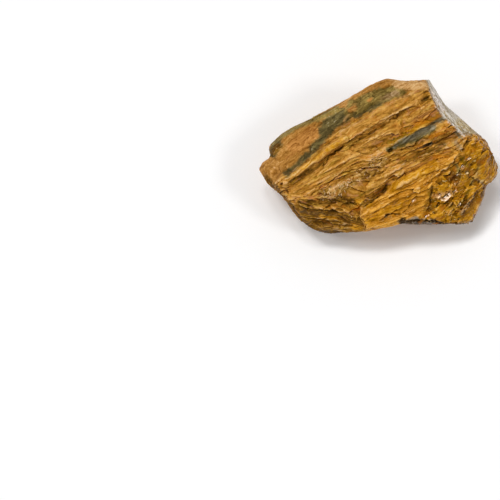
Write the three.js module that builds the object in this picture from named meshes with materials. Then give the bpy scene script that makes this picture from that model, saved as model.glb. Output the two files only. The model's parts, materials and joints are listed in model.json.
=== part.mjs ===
// Rough nellite: one loose piece of fibrous golden-brown stone, lying on its broad back.
//
// The stone is laid out in its own frame first: a runs along its length, b across its face and
// c out of the face. Fibres run up to the right across the face. The face is a grid whose rows
// follow the fibres; its rim is carried down in rings to the flat patch that the stone rests on.
import * as THREE from 'three';

// ---------------------------------------------------------------- driving dimensions (mm, degrees)
const FACE_TILT = 16;          // the face leans this far from level when the stone rests
const MID_THICKNESS = 18.5;    // face centre above the surface, measured straight up
const FIBRE_ANGLE = 31;        // direction of the fibres on the face
const STRATA_ANGLE = 4;        // fibres fan out to nearly level at the lower left
const FACE_CROWN = 1.2;        // the face stands this far above its middle plane at its centre
const FACE_RISE = 0.05;        // and rises this much per millimetre towards the far side
const ROWS = 61;               // grid cells across the fibres
const COLUMNS = 43;            // grid cells along the fibres
const RINGS = 10;              // steps from the rim down to the resting patch
const REST_SCALE = 0.9;        // resting patch against the rim, before the chips are struck off

// Relief: coarse fibre bundles, single strands within them, and the broken facets of the lump.
const BUNDLE = { width: 4.4, length: 19, height: 0.5, wander: 2.6 };
const STRAND = { width: 1.9, length: 9, height: 0.3, wander: 1.1 };
const WANDER_LENGTH = 17;      // bundles and strands swing to and fro over this length
const WANDER_WIDTH = 11;
const HACKLE = { size: 4.4, tilt: 0.42, step: 0.3, share: 0.85 };
const WEATHERED_RELIEF = 0.45; // what is left of the relief on the worn upper-left facet
const WEATHERED_EDGE = 2;      // width over which it fades there

// The edge between the face and the sides is rounded, more in some places than in others.
const SHOULDER = { width: 1.5, drop: 1.5, unevenness: 0.8, patchSize: 6 };
const RIM_RELIEF = 0.35;       // what is left of the relief at the rim
const RIM_FADE = 1.6;          // width over which it comes back

// The sides swell and sink, and carry the fibres on down.
const SIDE_SWELL = { height: 0.9, width: 9, depth: 7 };
const SIDE_GAIN = { flanks: 3.6, ends: 1.3, facets: 1 };    // relief of the sides against the face's
const SIDE_INSET = 0.8;        // how far the sides start inside the rim
const SIDE_ONSET = 0.4;        // share of the depth over which the side relief grows
const SIDE_EVENING = 0.62;     // share of the depth over which the rim's notches are evened out
const EVENING_PASSES = 60;

// The rim, as three chains that meet at the corners of the grid.
const lowerLeftRim = [
  [9.7, -18.5], [6.2, -18.3], [2.4, -19.2], [-3.0, -20.5], [-9.2, -20.7], [-13.2, -21.1],
  [-16.2, -20.5], [-19.2, -18.9], [-22.1, -16.6], [-24.3, -13.5], [-26.5, -10.5], [-30.2, -7.4],
  [-31.6, -4.9], [-32.5, -3.4],
];
const rightRim = [
  [26.1, -17.9], [28.6, -11.1], [29.9, -7.7], [32.7, -5.3], [32.8, -2.6], [31.5, 0.0], [29.4, 4.6],
  [26.7, 6.7], [21.6, 11.2], [17.9, 14.2], [15.4, 18.1], [13.7, 21.3], [11.3, 20.5], [6.8, 20.5],
  [2.2, 21.2],
];
const upperLeftRim = [
  [-32.5, -3.4], [-31.6, -1.6], [-29.2, 0.0], [-29.8, 1.9], [-29.4, 3.5], [-26.5, 6.2], [-23.2, 8.2],
  [-18.1, 10.5], [-9.2, 15.3], [-1.9, 19.6], [2.2, 21.2],
];
const lowerRightRim = [[9.7, -18.5], [16.7, -18.5], [22.4, -18.4], [26.1, -17.9]];

// Hinge lines where the broad facets of the face meet, and the slope beyond each of them.
// A side of 1 is to the left of the line's direction, and -1 to its right.
const crestHinge = [
  [-30, -9.4], [-21, -2.7], [-15.5, 2], [-9.2, 7.8], [-1.1, 12.4], [8.4, 16.5], [14, 18.6],
];
const lumpHinge = [[9, -20], [13.5, -9], [16.4, -4.8], [20.5, -1.2], [22.6, 2.4], [24.4, 8]];
const strataHinge = [[-26, -11], [-21.5, -13.7], [-15.9, -14.9], [-10.5, -15.4], [-5, -17.6], [2, -20.6]];
const facets = [
  { name: 'weathered upper-left facet', slope: 0.6, side: 1, line: crestHinge },
  { name: 'pale end facet', slope: 1.7, side: 1,
    line: [[11.6, 20.4], [13, 18.2], [15.6, 14.2], [19, 9.8], [23.2, 5.6], [30, 1.5]] },
  { name: 'right-hand lump', slope: 0.3, side: -1, line: lumpHinge },
  { name: 'far right edge', slope: 0.75, side: -1,
    line: [[21, -20], [25.2, -11.4], [28.2, -5.6], [28.6, 0.2], [26, 6.4]] },
  { name: 'lower-left strata', slope: 0.62, side: -1, line: strataHinge },
  { name: 'left shoulder', slope: 0.55, side: 1,
    line: [[-20.4, -16.6], [-22.4, -12.4], [-24.8, -8.6], [-26.6, -4.2], [-27, 1], [-25, 6]] },
];

// Ledges: the surface climbs slowly to a lip, then drops steeply on the right of the line into an
// undercut below it, and climbs back over the runout. Both ends of a ledge fade away.
const LEDGE_FADE = 3.6;
const LEDGE_RUNOUT = 2.6;
const LEDGE_CURVE = 1.4;       // how sharply the surface curls up to the lip
const ledges = [
  { name: 'rib of the crest', rise: 0.9, above: 1.8, drop: 0.7, undercut: 0.25,
    line: [[-26.6, -8.1], [-21.3, -4.9], [-16.7, -1.2], [-13.5, 1.4], [-9.4, 3.7]] },
  { name: 'bright ridge', rise: 0.8, above: 4.4, drop: 0.7, undercut: 0.3,
    line: [[-9.9, 3.4], [-6.5, 5.2], [-3, 7.2], [0.3, 9.1], [4.3, 11.2], [11.4, 14.8]] },
  { name: 'second ridge', rise: 0.45, above: 2.2, drop: 0.8, undercut: 0.2,
    line: [[-6.6, 2], [-3.8, 3.3], [1.6, 6], [5.7, 8.4], [9.7, 10.3], [13.5, 12.2]] },
  { name: 'golden band', rise: 0.45, above: 1.8, drop: 0.7, undercut: 0.2,
    line: [[2.4, 2.3], [5.7, 4.2], [8.9, 6.1], [12.4, 8.1], [16.5, 10.4]] },
  { name: 'middle strand', rise: 0.35, above: 2.4, drop: 0.8, undercut: 0.15,
    line: [[-16.6, -5.4], [-9.2, -1.6], [-4.6, 0.7], [-1.1, 2.3]] },
  { name: 'lower strand', rise: 0.45, above: 1.7, drop: 0.7, undercut: 0.2,
    line: [[4.3, -0.7], [8.4, 1.2], [12.4, 2.9], [16.5, 4.4], [20, 5.4]] },
  { name: 'long strand', rise: 0.5, above: 2, drop: 0.7, undercut: 0.25,
    line: [[0.4, -5.9], [5.7, -3.5], [9.7, -1.4], [13.8, 0.3], [17.8, 2], [21, 3]] },
  { name: 'long crevice', rise: 0.35, above: 1.8, drop: 0.7, undercut: 0.45,
    line: [[-19, -11], [-16.5, -9.2], [-12.7, -6.8], [-10, -4.9], [-7.3, -4], [-3.5, -3.6], [0.4, -3.2]] },
  { name: 'slab ridge', rise: 0.85, above: 2.4, drop: 0.8, undercut: 0.3,
    line: [[2.8, -9.8], [7, -7.3], [10.3, -5.7], [14, -3.9], [18, -2.3]] },
  { name: 'slab second ridge', rise: 0.5, above: 1.9, drop: 0.8, undercut: 0.25,
    line: [[-3.6, -16.1], [1.6, -13.4], [5.7, -11.2], [10.2, -9.2], [13.6, -7.6]] },
  { name: 'slab third ridge', rise: 0.4, above: 1.7, drop: 0.8, undercut: 0.2,
    line: [[-1.9, -18.2], [3, -15.4], [7.8, -13], [12.4, -11.3]] },
  { name: 'end of the fibrous face', rise: 0.6, above: 2.2, drop: 0.8, undercut: 0.35,
    line: [[13.4, -6.4], [16.4, -4.4], [18.6, -2.9], [20.4, -1], [21.6, 1.2], [22.6, 3.4], [24, 5.6]] },
  { name: 'sparkling strand', rise: 0.4, above: 1.9, drop: 1.1, undercut: 0.25,
    line: [[-21.3, -12], [-16.5, -11.4], [-11.9, -11.7], [-7.3, -13]] },
  { name: 'strata crack', rise: 0.5, above: 1.8, drop: 0.9, undercut: 0.7,
    line: [[-22.6, -13], [-20.2, -14.2], [-17.3, -14.6], [-12, -14.7], [-9, -15.6], [-4.9, -17.4]] },
  { name: 'strata second step', rise: 0.45, above: 1.4, drop: 0.9, undercut: 0.4,
    line: [[-20.6, -17.2], [-15.9, -17.2], [-12, -17.6], [-7, -18.6]] },
  { name: 'strata third step', rise: 0.4, above: 1.3, drop: 0.9, undercut: 0.25,
    line: [[-18, -19.4], [-13.2, -19.2], [-8.6, -19.7], [-4.6, -20]] },
  { name: 'weathered step', rise: 0.4, above: 2.4, drop: 1, undercut: 0.2,
    line: [[-11, 7.8], [-8.8, 11], [-7, 14.6]] },
  { name: 'weathered ridge', rise: 0.3, above: 2.2, drop: 1, undercut: 0.15,
    line: [[-24.4, 0.2], [-17, 5], [-10.5, 9.4], [-3.4, 14], [3.4, 18]] },
  { name: 'right lump ridge', rise: 0.7, above: 2.2, drop: 0.9, undercut: 0.3,
    line: [[21.4, -17], [23.4, -14.3], [24.8, -11.6], [26.9, -8.6], [30.4, -5.8]] },
  { name: 'right lump flake', rise: 0.6, above: 1.9, drop: 0.8, undercut: 0.3,
    line: [[15.2, -12.6], [16.9, -12.4], [18.4, -11.3], [21, -10]] },
];

// Cracks, hollows and gullies between the strands.
const CRACK_FADE = 2;
const CRACK_CURVE = 1.3;       // how sharply a crack narrows to its bottom
const cracks = [
  { name: 'valley along the crest', depth: 0.45, width: 1.2,
    line: [[-26, -5.4], [-21, -1.8], [-16, 2.2], [-12.4, 5.4]] },
  { name: 'gully above the slab', depth: 0.9, width: 1.5,
    line: [[-8.6, -16.2], [-3.5, -13.4], [-0.8, -11.5], [1.4, -9.7], [3.4, -6.6], [5.1, -4.6]] },
  { name: 'step at the slab end', depth: 0.9, width: 1.1,
    line: [[-6.2, -15], [-4.9, -17.6], [-3.4, -20.6]] },
  { name: 'grey vein hollow', depth: 0.35, width: 1.5,
    line: [[2.8, 1.3], [7, 3.7], [10.5, 5.7], [14.3, 8], [18.1, 9.6]] },
  { name: 'undercut of the splinter', depth: 0.4, width: 0.9,
    line: [[-9.1, 3.4], [-12.2, 1], [-14.3, -0.9], [-16.4, -3.6]] },
  { name: 'lump gully', depth: 0.5, width: 1.6,
    line: [[15, -7], [15.6, -10.5], [14.6, -14], [16, -17]] },
];

// Pits (height below zero) and knobs, each longer along the fibres than across.
const spots = [
  { name: 'end pit', at: [12.4, 15.4], length: 1.6, width: 0.9, height: -1.1 },
  { name: 'vein pit', at: [3, 1.7], length: 1, width: 0.7, height: -0.7 },
  { name: 'slit pit', at: [13.4, 2.9], length: 1.5, width: 0.6, height: -0.7 },
  { name: 'lobe hollow', at: [-27.6, -3.9], length: 1.7, width: 1.3, height: -0.8 },
  { name: 'tip hole', at: [-26.4, -7.6], length: 0.8, width: 0.7, height: -0.8 },
  { name: 'grey slab pit', at: [2.3, -16], length: 1.1, width: 0.8, height: -0.6 },
  { name: 'tip knob', at: [-26.1, -7.4], length: 2, width: 1.5, height: 0.8 },
  { name: 'lobe knob', at: [-28.1, 2.2], length: 1.8, width: 1.7, height: 0.8 },
  { name: 'splinter', at: [-12.2, 2.9], length: 3.2, width: 1.1, height: 0.6 },
  { name: 'orange knob', at: [-5, -13], length: 2, width: 1.4, height: 0.6 },
  { name: 'crystal knob', at: [12.2, 13.2], length: 1.6, width: 1.1, height: 0.8 },
  { name: 'upper knob', at: [-7.3, 13.2], length: 1.2, width: 1.4, height: 0.6 },
  { name: 'scaly swelling', at: [-3.6, -1.8], length: 3.6, width: 1.6, height: 0.6 },
  { name: 'grainy swelling', at: [-11.4, -9.4], length: 4.4, width: 1.9, height: 0.5 },
  { name: 'lump swelling', at: [26.4, 0.4], length: 4.2, width: 3.6, height: 1.0 },
  { name: 'lump hollow', at: [21, -5.6], length: 3, width: 2.2, height: -0.5 },
  { name: 'lump middle swelling', at: [20.6, -9.8], length: 3.4, width: 2.2, height: 0.8 },
  { name: 'lump shoulder', at: [18.8, -14.4], length: 3.4, width: 2.2, height: 0.9 },
];

// Chips struck off below the rim: the way each one faces across the stone, how far it leans under,
// and how far it stays clear of the rim's outermost point, or less than zero if it bites in below it.
const chips = [
  { name: 'left end', facing: 196, lean: 34, clear: 0.6 },
  { name: 'lower left', facing: 238, lean: 24, clear: 0.4 },
  { name: 'near side', facing: 276, lean: 12, clear: 0.5 },
  { name: 'lower right', facing: 312, lean: 30, clear: 0.8 },
  { name: 'below the right tip', facing: 335, lean: 24, clear: -1.3 },
  { name: 'right end', facing: 2, lean: 27, clear: 0 },
  { name: 'pale end', facing: 42, lean: 16, clear: 0.6 },
  { name: 'far corner', facing: 84, lean: 25, clear: 1.6 },
  { name: 'far side', facing: 121, lean: 7, clear: 0.5 },
  { name: 'far left', facing: 152, lean: 30, clear: 1.2 },
];

// Broken steps on the sides: below its depth each one draws the side in, over a fan of directions.
const STEP_FADE = 14;          // degrees over which a step dies out at either end
const STEP_DROP = 1.4;         // depth that a step takes
const STEP_WANDER = 1.6;       // how far a step climbs and falls along the side
const STEP_LENGTH = 9;         // over this length
const sideSteps = [
  { name: 'far side shelf', facing: 126, spread: 44, depth: -8, inset: 2.0 },
  { name: 'far side lower shelf', facing: 104, spread: 34, depth: -13, inset: 1.8 },
  { name: 'far left shelf', facing: 158, spread: 26, depth: -12, inset: 1.6 },
  { name: 'left end step', facing: 200, spread: 34, depth: -8.5, inset: 1.5 },
  { name: 'near side step', facing: 262, spread: 40, depth: -11, inset: 1.7 },
  { name: 'lower right step', facing: 316, spread: 26, depth: -9, inset: 0.9 },
  { name: 'right end step', facing: 356, spread: 30, depth: -12.5, inset: 1.6 },
  { name: 'pale end step', facing: 48, spread: 26, depth: -9.5, inset: 1.4 },
];

// ---------------------------------------------------------------- small maths
const degrees = (angle) => (angle * Math.PI) / 180;
const mix = (from, to, share) => from + (to - from) * share;
const clamp01 = (value) => Math.min(1, Math.max(0, value));
const ease = (value) => clamp01(value) ** 2 * (3 - 2 * clamp01(value));

// One fixed pseudo-random number from 0 to 1 for each lattice point and seed, mixed with primes.
const axisPrimes = [374761393, 668265263, 2147483629, 974634777];
const mixingPrimes = [1274126177, 2246822519];
function lattice(...place) {
  let hash = 0;
  for (const [axis, value] of place.entries()) hash ^= Math.imul(value, axisPrimes[axis]);
  hash = Math.imul(hash ^ (hash >>> 13), mixingPrimes[0]);
  hash = Math.imul(hash ^ (hash >>> 16), mixingPrimes[1]);
  return ((hash ^ (hash >>> 15)) >>> 0) / 2 ** 32;
}

// Each use of the noise has seeds of its own.
const seeds = {
  strands: 7, worn: 15, wander: 40, facetPlace: 60, facetTilt: 70, facetStep: 80, swell: 91, step: 97,
};

// Smooth noise from -1 to 1 between the lattice points.
function noise(x, y, z, seed) {
  const [cellX, cellY, cellZ] = [Math.floor(x), Math.floor(y), Math.floor(z)];
  const [shareX, shareY, shareZ] = [ease(x - cellX), ease(y - cellY), ease(z - cellZ)];
  const corner = (i, j, k) => lattice(cellX + i, cellY + j, cellZ + k, seed);
  const edge = (j, k) => mix(corner(0, j, k), corner(1, j, k), shareX);
  return 2 * mix(mix(edge(0, 0), edge(1, 0), shareY), mix(edge(0, 1), edge(1, 1), shareY), shareZ) - 1;
}

// Nearest place on a line: distance (positive to the left of its direction) and place along it.
function measure(line, a, b) {
  let best = { distance: Infinity, along: 0 };
  let total = 0;
  for (let i = 1; i < line.length; i++) {
    const [startA, startB] = line[i - 1];
    const [stepA, stepB] = [line[i][0] - startA, line[i][1] - startB];
    const length = Math.hypot(stepA, stepB);
    const share = clamp01(((a - startA) * stepA + (b - startB) * stepB) / length ** 2);
    const [gapA, gapB] = [a - startA - share * stepA, b - startB - share * stepB];
    const gap = Math.hypot(gapA, gapB);
    if (gap < Math.abs(best.distance)) {
      const side = stepA * gapB - stepB * gapA >= 0 ? 1 : -1;
      best = { distance: side * gap, along: total + share * length };
    }
    total += length;
  }
  return { ...best, total };
}

// Places and directions in the fibres' own frame.
function alongFibres(a, b, angle) {
  const turn = degrees(angle);
  return [a * Math.cos(turn) + b * Math.sin(turn), b * Math.cos(turn) - a * Math.sin(turn)];
}

// ---------------------------------------------------------------- the face
const rim = [...lowerLeftRim, ...upperLeftRim.slice(1), ...[...rightRim].reverse().slice(1),
  ...[...lowerRightRim].reverse().slice(1)];

// Weight, from 0 to 1, of the strata fan at the lower left and of the hackly lump on the right.
const SLAB_END = -3.5;         // the strata stop here, against the end of the slab
const LUMP_TOP = 9;            // the hackly zone stops below this height
const ZONE_EDGE = 3;           // width over which one kind of break gives way to another
const beyond = (hinge, a, b) => Math.max(0, -measure(hinge, a, b).distance);
const within = (distance) => ease(distance / ZONE_EDGE);
const strataWeight = (a, b) => within(beyond(strataHinge, a, b) + 1) * within(SLAB_END - a);
const hackleWeight = (a, b) => within(beyond(lumpHinge, a, b)) * within(LUMP_TOP - b);

// Bundles and strands: sharp-topped ridges that run along the fibres through the whole stone.
const RIDGE_LEVEL = 0.6;       // keeps ridges and furrows evenly about the surface
function fibreRelief(along, across, deep) {
  const slow = [along / WANDER_LENGTH, across / WANDER_WIDTH, deep / WANDER_WIDTH];
  let height = 0;
  for (const [index, set] of [BUNDLE, STRAND].entries()) {
    const wander = noise(...slow, seeds.wander + index) * set.wander;
    const half = set.width / 2;
    const sample = noise(along / set.length, (across + wander) / half, deep / half, seeds.strands + index);
    height += set.height * (RIDGE_LEVEL - 2 * Math.abs(sample));
  }
  return height;
}

// Broken facets: each cell of the fracture is a small plane with its own tilt and step.
function hackleRelief(x, y, z) {
  const cell = [x, y, z].map((value) => Math.floor(value / HACKLE.size));
  let nearest = Infinity;
  let height = 0;
  for (let i = -1; i <= 1; i++) {
    for (let j = -1; j <= 1; j++) {
      for (let k = -1; k <= 1; k++) {
        const at = [cell[0] + i, cell[1] + j, cell[2] + k];
        const placeWithin = (value, axis) => value + lattice(...at, seeds.facetPlace + axis);
        const seed = at.map((value, axis) => placeWithin(value, axis) * HACKLE.size);
        const gap = [x - seed[0], y - seed[1], z - seed[2]];
        const distance = Math.hypot(...gap);
        if (distance < nearest) {
          nearest = distance;
          height = HACKLE.step * (2 * lattice(...at, seeds.facetStep) - 1);
          for (const [axis, value] of gap.entries()) {
            height += HACKLE.tilt * value * (2 * lattice(...at, seeds.facetTilt + axis) - 1);
          }
        }
      }
    }
  }
  return height;
}

// Relief in the stone's own frame, added to the face and, turned outwards, to the sides.
function relief(a, b, c, gain = { fibres: 1, facets: 1 }) {
  const strata = strataWeight(a, b);
  const hackle = hackleWeight(a, b);
  const [along, across] = alongFibres(a, b, FIBRE_ANGLE);
  const [alongStrata, acrossStrata] = alongFibres(a, b, STRATA_ANGLE);
  const fibres = mix(fibreRelief(along, across, c), fibreRelief(alongStrata, acrossStrata, c), strata);
  return mix(gain.fibres * fibres, gain.facets * hackleRelief(a, b, c), HACKLE.share * hackle);
}

function ledgeHeight(ledge, a, b) {
  const { distance, along, total } = measure(ledge.line, a, b);
  const fade = ease(along / LEDGE_FADE) * ease((total - along) / LEDGE_FADE);
  if (distance >= 0) return fade * ledge.rise * clamp01(1 - distance / ledge.above) ** LEDGE_CURVE;
  const below = -distance;
  if (below < ledge.drop) return fade * mix(ledge.rise, -ledge.undercut, below / ledge.drop);
  return -fade * ledge.undercut * clamp01(1 - (below - ledge.drop) / LEDGE_RUNOUT);
}

function crackHeight(crack, a, b) {
  const { distance, along, total } = measure(crack.line, a, b);
  const fade = ease(along / CRACK_FADE) * ease((total - along) / CRACK_FADE);
  return -fade * crack.depth * clamp01(1 - Math.abs(distance) / crack.width) ** CRACK_CURVE;
}

function spotHeight(spot, a, b) {
  const [along, across] = alongFibres(a - spot.at[0], b - spot.at[1], FIBRE_ANGLE);
  return spot.height * Math.exp(-((along / spot.length) ** 2) - (across / spot.width) ** 2);
}

// Height of the face above its own middle plane.
function faceHeight(a, b) {
  let height = FACE_CROWN + FACE_RISE * b;
  for (const facet of facets) {
    height -= facet.slope * Math.max(0, facet.side * measure(facet.line, a, b).distance);
  }
  for (const ledge of ledges) height += ledgeHeight(ledge, a, b);
  for (const crack of cracks) height += crackHeight(crack, a, b);
  for (const spot of spots) height += spotHeight(spot, a, b);
  const weathered = ease(measure(crestHinge, a, b).distance / WEATHERED_EDGE);
  const inset = Math.abs(measure([...rim, rim[0]], a, b).distance);
  const strength = mix(1, WEATHERED_RELIEF, weathered) * mix(RIM_RELIEF, 1, ease(inset / RIM_FADE));
  height += strength * relief(a, b, 0);
  const unevenness = noise(a / SHOULDER.patchSize, b / SHOULDER.patchSize, 0, seeds.worn);
  const drop = SHOULDER.drop * (1 + SHOULDER.unevenness * unevenness);
  return height - drop * clamp01(1 - inset / SHOULDER.width) ** 2;
}

// The point of a rim chain at a given share of the way across the grid's rows.
const ROW_ANGLE = 30;          // direction of the rows at both ends, within a degree of the fibres
function chainAt(chain, share) {
  const across = chain.map(([a, b]) => alongFibres(a, b, ROW_ANGLE)[1]);
  const wanted = mix(across[0], across[across.length - 1], share);
  let i = 1;
  while (i < chain.length - 1 && across[i] < wanted) i++;
  const part = clamp01((wanted - across[i - 1]) / (across[i] - across[i - 1]));
  return chain[i].map((value, axis) => mix(chain[i - 1][axis], value, part));
}

// The point of a chain at a share of its length.
function chainAlong(chain, share) {
  const lengths = chain.slice(1).map(([a, b], i) => Math.hypot(a - chain[i][0], b - chain[i][1]));
  let rest = share * lengths.reduce((sum, length) => sum + length, 0);
  let i = 0;
  while (i < lengths.length - 1 && rest > lengths[i]) rest -= lengths[i++];
  return chain[i].map((value, axis) => mix(value, chain[i + 1][axis], clamp01(rest / lengths[i])));
}

// Grid rows run from the lower-left rim to the right rim. The first and the last follow the other two
// chains, and the rows next to them take up that bow less and less.
const BOW_FADE = { below: 4, above: 5 };
function facePoint(row, column) {
  const [up, right] = [row / ROWS, column / COLUMNS];
  const [left, end] = [chainAt(lowerLeftRim, up), chainAt(rightRim, up)];
  return [0, 1].map((axis) => {
    const straight = mix(left[axis], end[axis], right);
    const bowBelow = chainAlong(lowerRightRim, right)[axis]
      - mix(lowerRightRim[0][axis], lowerRightRim[lowerRightRim.length - 1][axis], right);
    const bowAbove = chainAlong(upperLeftRim, right)[axis]
      - mix(upperLeftRim[0][axis], upperLeftRim[upperLeftRim.length - 1][axis], right);
    return straight + bowBelow * (1 - up) ** BOW_FADE.below + bowAbove * up ** BOW_FADE.above;
  });
}

// ---------------------------------------------------------------- the solid
const points = [];       // stone's own frame
const triangles = [];
const addPoint = (point) => points.push(point) - 1;

const grid = [];
for (let row = 0; row <= ROWS; row++) {
  grid.push([]);
  for (let column = 0; column <= COLUMNS; column++) {
    const [a, b] = facePoint(row, column);
    grid[row].push(addPoint([a, b, faceHeight(a, b)]));
  }
}
for (let row = 0; row < ROWS; row++) {
  for (let column = 0; column < COLUMNS; column++) {
    const [near, nearNext] = [grid[row][column], grid[row][column + 1]];
    const [far, farNext] = [grid[row + 1][column], grid[row + 1][column + 1]];
    triangles.push([near, nearNext, farNext], [near, farNext, far]);
  }
}

// Rim vertices, anticlockwise seen from the front.
const rimIndices = [
  ...grid[0].slice(0, COLUMNS),
  ...grid.slice(0, ROWS).map((line) => line[COLUMNS]),
  ...[...grid[ROWS].slice(1)].reverse(),
  ...[...grid.slice(1)].reverse().map((line) => line[0]),
];

// The same loop with its notches evened out, for the lower part of the sides.
function smoothLoop(loop, passes) {
  let current = loop;
  for (let pass = 0; pass < passes; pass++) {
    current = current.map((point, i) => {
      const before = current[(i + loop.length - 1) % loop.length];
      const after = current[(i + 1) % loop.length];
      return point.map((value, axis) => (2 * value + before[axis] + after[axis]) / 4);
    });
  }
  return current;
}
const rimLoop = rimIndices.map((index) => points[index]);
const evenLoop = smoothLoop(rimLoop, EVENING_PASSES);

// Depth of the resting surface below the face plane, at a place across the face.
const tilt = degrees(FACE_TILT);
const restDepth = (b) => -(MID_THICKNESS + b * Math.sin(tilt)) / Math.cos(tilt);

// Share of a place's distance from the stone's long axis that the chips leave it.
const chipPlanes = chips.map(({ facing, lean, clear }) => {
  const [turn, under] = [degrees(facing), degrees(lean)];
  const across = [Math.cos(turn) * Math.cos(under), Math.sin(turn) * Math.cos(under)];
  const out = -Math.sin(under);
  const reach = Math.max(...rimLoop.map(([a, b, c]) => across[0] * a + across[1] * b + out * c)) + clear;
  return { across, out, reach };
});
function chipped(a, b, c) {
  let share = 1;
  for (const { across, out, reach } of chipPlanes) {
    const sideways = across[0] * a + across[1] * b;
    if (sideways > 0) share = Math.min(share, (reach - out * c) / sideways);
  }
  return share;
}

// How far the broken steps have drawn the side in at this depth.
function stepInset(a, b, depth) {
  const towards = (Math.atan2(b, a) * 180) / Math.PI;
  const wander = STEP_WANDER * noise(a / STEP_LENGTH, b / STEP_LENGTH, 0, seeds.step);
  let inset = 0;
  for (const step of sideSteps) {
    const turned = (((towards - step.facing) % 360) + 540) % 360 - 180;
    const fade = ease((step.spread - Math.abs(turned)) / STEP_FADE);
    inset += fade * step.inset * ease((step.depth + wander - depth) / STEP_DROP);
  }
  return inset;
}

// Each value drawn towards the values before and after it in the loop.
function evened(values) {
  return values.map((value, i) => {
    const before = values[(i + values.length - 1) % values.length];
    const after = values[(i + 1) % values.length];
    return (before + 2 * value + after) / 4;
  });
}

// How far the broken surface stands out of the plain side at a point on a ring.
function standsOut(ringA, ringB, depth, down) {
  const swellPlace = [ringA / SIDE_SWELL.width, ringB / SIDE_SWELL.width, depth / SIDE_SWELL.depth];
  const swell = SIDE_SWELL.height * noise(...swellPlace, seeds.swell);
  const flank = (alongFibres(ringA, ringB, FIBRE_ANGLE)[1] / Math.hypot(ringA, ringB)) ** 2;
  const gain = { fibres: mix(SIDE_GAIN.ends, SIDE_GAIN.flanks, flank), facets: SIDE_GAIN.facets };
  const rough = swell + relief(ringA, ringB, depth, gain) - SIDE_INSET;
  return rough * ease(down / SIDE_ONSET) - stepInset(ringA, ringB, depth);
}

let upperRing = rimIndices;
for (let ring = 1; ring <= RINGS; ring++) {
  const down = ring / RINGS;
  const scale = mix(1, REST_SCALE, down);
  const evening = ease(down / SIDE_EVENING);
  const plainRing = rimLoop.map(([a, b, c], i) => {
    const ringA = mix(a, evenLoop[i][0], evening) * scale;
    const ringB = mix(b, evenLoop[i][1], evening) * scale;
    return [ringA, ringB, mix(c, restDepth(ringB), down)];
  });
  const further = evened(evened(plainRing.map(([a, b, depth]) => standsOut(a, b, depth, down))));
  const lowerRing = plainRing.map(([ringA, ringB, depth], i) => {
    const outward = chipped(ringA, ringB, depth) + further[i] / Math.hypot(ringA, ringB);
    const [placeA, placeB] = [ringA * outward, ringB * outward];
    return addPoint([placeA, placeB, mix(rimLoop[i][2], restDepth(placeB), down)]);
  });
  for (let i = 0; i < lowerRing.length; i++) {
    const next = (i + 1) % lowerRing.length;
    triangles.push([upperRing[i], lowerRing[i], lowerRing[next]]);
    triangles.push([upperRing[i], lowerRing[next], upperRing[next]]);
  }
  upperRing = lowerRing;
}

// The flat resting patch closes the stone.
const patch = upperRing.map((index) => new THREE.Vector2(points[index][0], points[index][1]));
for (const [first, second, third] of THREE.ShapeUtils.triangulateShape(patch, [])) {
  triangles.push([upperRing[first], upperRing[third], upperRing[second]]);
}

const geometry = new THREE.BufferGeometry();
geometry.setAttribute('position', new THREE.Float32BufferAttribute(points.flat(), 3));
geometry.setIndex(triangles.flat());

// Lay the stone down: lean the face, and put the origin under the middle of the whole stone.
geometry.rotateX(tilt);
geometry.computeBoundingBox();
const middle = geometry.boundingBox.getCenter(new THREE.Vector3());
geometry.translate(-middle.x, -middle.y, -geometry.boundingBox.min.z);
geometry.computeVertexNormals();

const nellite = new THREE.MeshStandardMaterial({ color: 0xb0742a, roughness: 0.55, flatShading: true });
const stone = new THREE.Mesh(geometry, nellite);
stone.name = 'nellite_stone';

const roughNellite = new THREE.Group();
roughNellite.add(stone);
export default roughNellite;
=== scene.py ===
import json
import math

import bpy
import numpy as np
from mathutils import Matrix, Vector

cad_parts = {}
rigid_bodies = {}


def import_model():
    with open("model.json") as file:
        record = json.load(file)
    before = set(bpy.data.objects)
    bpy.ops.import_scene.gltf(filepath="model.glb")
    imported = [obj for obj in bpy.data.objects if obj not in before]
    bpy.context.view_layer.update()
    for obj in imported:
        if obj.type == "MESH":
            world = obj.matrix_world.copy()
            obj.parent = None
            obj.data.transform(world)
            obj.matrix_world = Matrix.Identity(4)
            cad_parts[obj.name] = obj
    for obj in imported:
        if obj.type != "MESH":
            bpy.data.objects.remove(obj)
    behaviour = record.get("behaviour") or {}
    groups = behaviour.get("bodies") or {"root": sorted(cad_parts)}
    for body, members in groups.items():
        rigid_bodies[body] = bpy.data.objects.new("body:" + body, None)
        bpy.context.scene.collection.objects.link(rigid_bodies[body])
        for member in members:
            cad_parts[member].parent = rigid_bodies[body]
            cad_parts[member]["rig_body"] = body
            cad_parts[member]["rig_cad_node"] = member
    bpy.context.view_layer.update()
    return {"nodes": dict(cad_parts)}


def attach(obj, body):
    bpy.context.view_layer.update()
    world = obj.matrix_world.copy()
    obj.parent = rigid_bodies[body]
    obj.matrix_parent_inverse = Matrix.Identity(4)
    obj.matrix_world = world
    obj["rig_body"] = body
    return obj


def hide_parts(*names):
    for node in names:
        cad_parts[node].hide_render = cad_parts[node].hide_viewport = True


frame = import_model()
mm = 0.001

# The stone's own frame: a along its length, b across the face and c out of it, in mm.
# The face leans forward by tilt degrees, and centre is the frame's origin in the world.
faceFrame = {"tilt": 16.0, "centre": (-0.147, -1.314, 18.5)}


# small maths on whole arrays
def ease(value):
    value = np.clip(value, 0, 1)
    return value * value * (3 - 2 * value)


def mix(low, high, share):
    return low + (high - low) * share


def turned(a, b, degrees):
    turn = math.radians(degrees)
    return a * math.cos(turn) + b * math.sin(turn), b * math.cos(turn) - a * math.sin(turn)


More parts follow.
